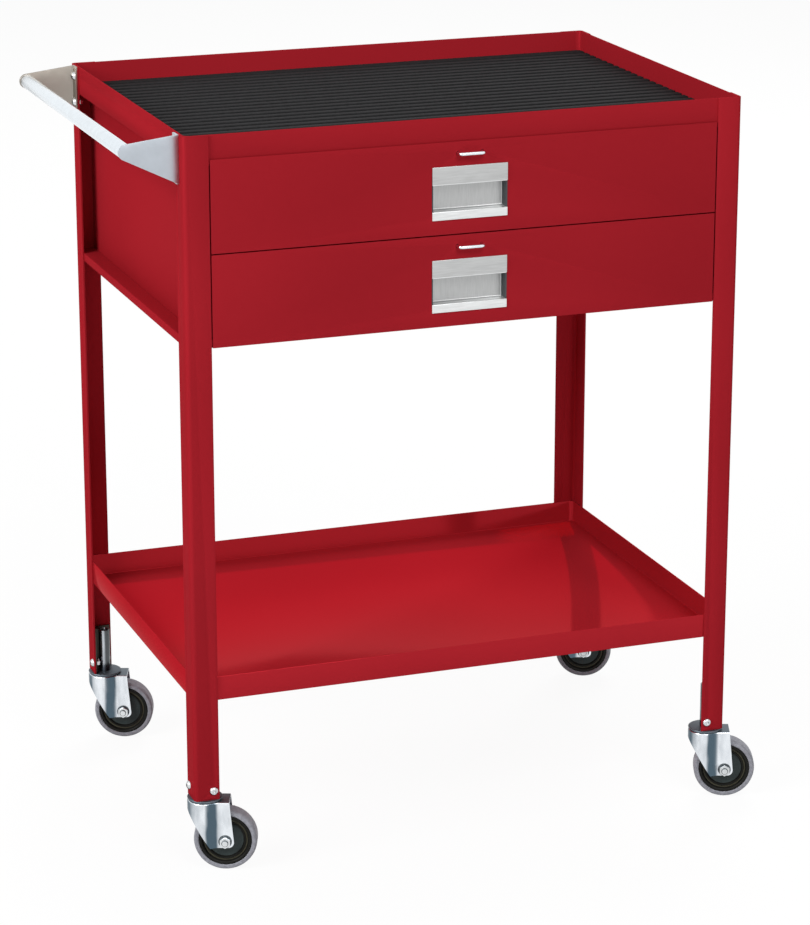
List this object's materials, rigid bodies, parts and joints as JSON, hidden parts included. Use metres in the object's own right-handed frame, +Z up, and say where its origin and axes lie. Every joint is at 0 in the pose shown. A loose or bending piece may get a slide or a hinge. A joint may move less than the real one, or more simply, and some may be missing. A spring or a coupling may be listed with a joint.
{
  "type": "service cart",
  "caption": "Red sheet-metal service cart with two drawers under a matted top tray, an open lower shelf, an end push handle and swivel casters.",
  "frame": {"origin": "on the floor, under the middle of the four legs", "axes": "+X to the right along the drawer fronts, away from the push handle; +Y to the back, away from the drawer fronts; +Z up"},
  "size_m": [0.7926, 0.5005, 0.88],
  "materials": {
    "red_paint": "glossy powder coat",
    "box_paint": "glossy powder coat on the drawer boxes",
    "ribbed_rubber": "matt, ribbed from left to right",
    "brushed_plate": "satin",
    "polished_plate": "bright",
    "zinc_plate": "bright zinc plate",
    "wheel_plastic": "satin",
    "wheel_tyre": "smooth grey tread"
  },
  "bodies": {
    "frame": {"leg_front_left": "red_paint", "leg_front_right": "red_paint", "leg_rear_right": "red_paint", "leg_rear_left": "red_paint", "top_tray": "red_paint", "tray_mat": "ribbed_rubber", "lower_shelf": "red_paint", "cabinet_floor": "red_paint", "cabinet_side_left": "red_paint", "cabinet_side_right": "red_paint", "cabinet_back": "red_paint", "upper_slide_left": "zinc_plate", "upper_slide_right": "zinc_plate", "lower_slide_left": "zinc_plate", "lower_slide_right": "zinc_plate", "handle_bar": "polished_plate", "handle_arm_front": "zinc_plate", "handle_arm_rear": "zinc_plate", "handle_bolts": "zinc_plate", "socket_bolts": "zinc_plate", "socket_front_left": "zinc_plate", "socket_front_right": "zinc_plate", "socket_rear_right": "zinc_plate", "socket_rear_left": "zinc_plate", "caster_stem_front_left": "zinc_plate", "caster_stem_front_right": "zinc_plate", "caster_stem_rear_right": "zinc_plate", "caster_stem_rear_left": "zinc_plate"},
    "upper_drawer": {"upper_drawer_box": "box_paint", "upper_drawer_front": "red_paint", "upper_drawer_pull": "brushed_plate", "upper_drawer_wire": "polished_plate", "upper_runner_left": "zinc_plate", "upper_runner_right": "zinc_plate"},
    "lower_drawer": {"lower_drawer_box": "box_paint", "lower_drawer_front": "red_paint", "lower_drawer_pull": "brushed_plate", "lower_drawer_wire": "polished_plate", "lower_runner_left": "zinc_plate", "lower_runner_right": "zinc_plate"},
    "fork_front_left": {"caster_fork_front_left": "zinc_plate", "caster_axle_front_left": "zinc_plate"},
    "wheel_front_left": {"caster_hub_front_left": "wheel_plastic", "caster_tyre_front_left": "wheel_tyre"},
    "fork_front_right": {"caster_fork_front_right": "zinc_plate", "caster_axle_front_right": "zinc_plate"},
    "wheel_front_right": {"caster_hub_front_right": "wheel_plastic", "caster_tyre_front_right": "wheel_tyre"},
    "fork_rear_right": {"caster_fork_rear_right": "zinc_plate", "caster_axle_rear_right": "zinc_plate"},
    "wheel_rear_right": {"caster_hub_rear_right": "wheel_plastic", "caster_tyre_rear_right": "wheel_tyre"},
    "fork_rear_left": {"caster_fork_rear_left": "zinc_plate", "caster_axle_rear_left": "zinc_plate"},
    "wheel_rear_left": {"caster_hub_rear_left": "wheel_plastic", "caster_tyre_rear_left": "wheel_tyre"}
  },
  "joints": [
    {"name": "upper_drawer_slide", "type": "slide", "parent": "frame", "child": "upper_drawer", "axis": [0, -1, 0], "range_m": [0, 0.32]},
    {"name": "lower_drawer_slide", "type": "slide", "parent": "frame", "child": "lower_drawer", "axis": [0, -1, 0], "range_m": [0, 0.32]},
    {"name": "swivel_front_left", "type": "hinge", "parent": "frame", "child": "fork_front_left", "pos_m": [-0.323, -0.223, 0.0837], "axis": [0, 0, 1], "continuous": true},
    {"name": "roll_front_left", "type": "hinge", "parent": "fork_front_left", "child": "wheel_front_left", "pos_m": [-0.30059, -0.2316, 0.0375], "axis": [0.3584, 0.9336, 0], "continuous": true},
    {"name": "swivel_front_right", "type": "hinge", "parent": "frame", "child": "fork_front_right", "pos_m": [0.323, -0.223, 0.0837], "axis": [0, 0, 1], "continuous": true},
    {"name": "roll_front_right", "type": "hinge", "parent": "fork_front_right", "child": "wheel_front_right", "pos_m": [0.34541, -0.2316, 0.0375], "axis": [0.3584, 0.9336, 0], "continuous": true},
    {"name": "swivel_rear_right", "type": "hinge", "parent": "frame", "child": "fork_rear_right", "pos_m": [0.323, 0.223, 0.0837], "axis": [0, 0, 1], "continuous": true},
    {"name": "roll_rear_right", "type": "hinge", "parent": "fork_rear_right", "child": "wheel_rear_right", "pos_m": [0.34541, 0.2144, 0.0375], "axis": [0.3584, 0.9336, 0], "continuous": true},
    {"name": "swivel_rear_left", "type": "hinge", "parent": "frame", "child": "fork_rear_left", "pos_m": [-0.323, 0.223, 0.0837], "axis": [0, 0, 1], "continuous": true},
    {"name": "roll_rear_left", "type": "hinge", "parent": "fork_rear_left", "child": "wheel_rear_left", "pos_m": [-0.30059, 0.2144, 0.0375], "axis": [0.3584, 0.9336, 0], "continuous": true}
  ]
}
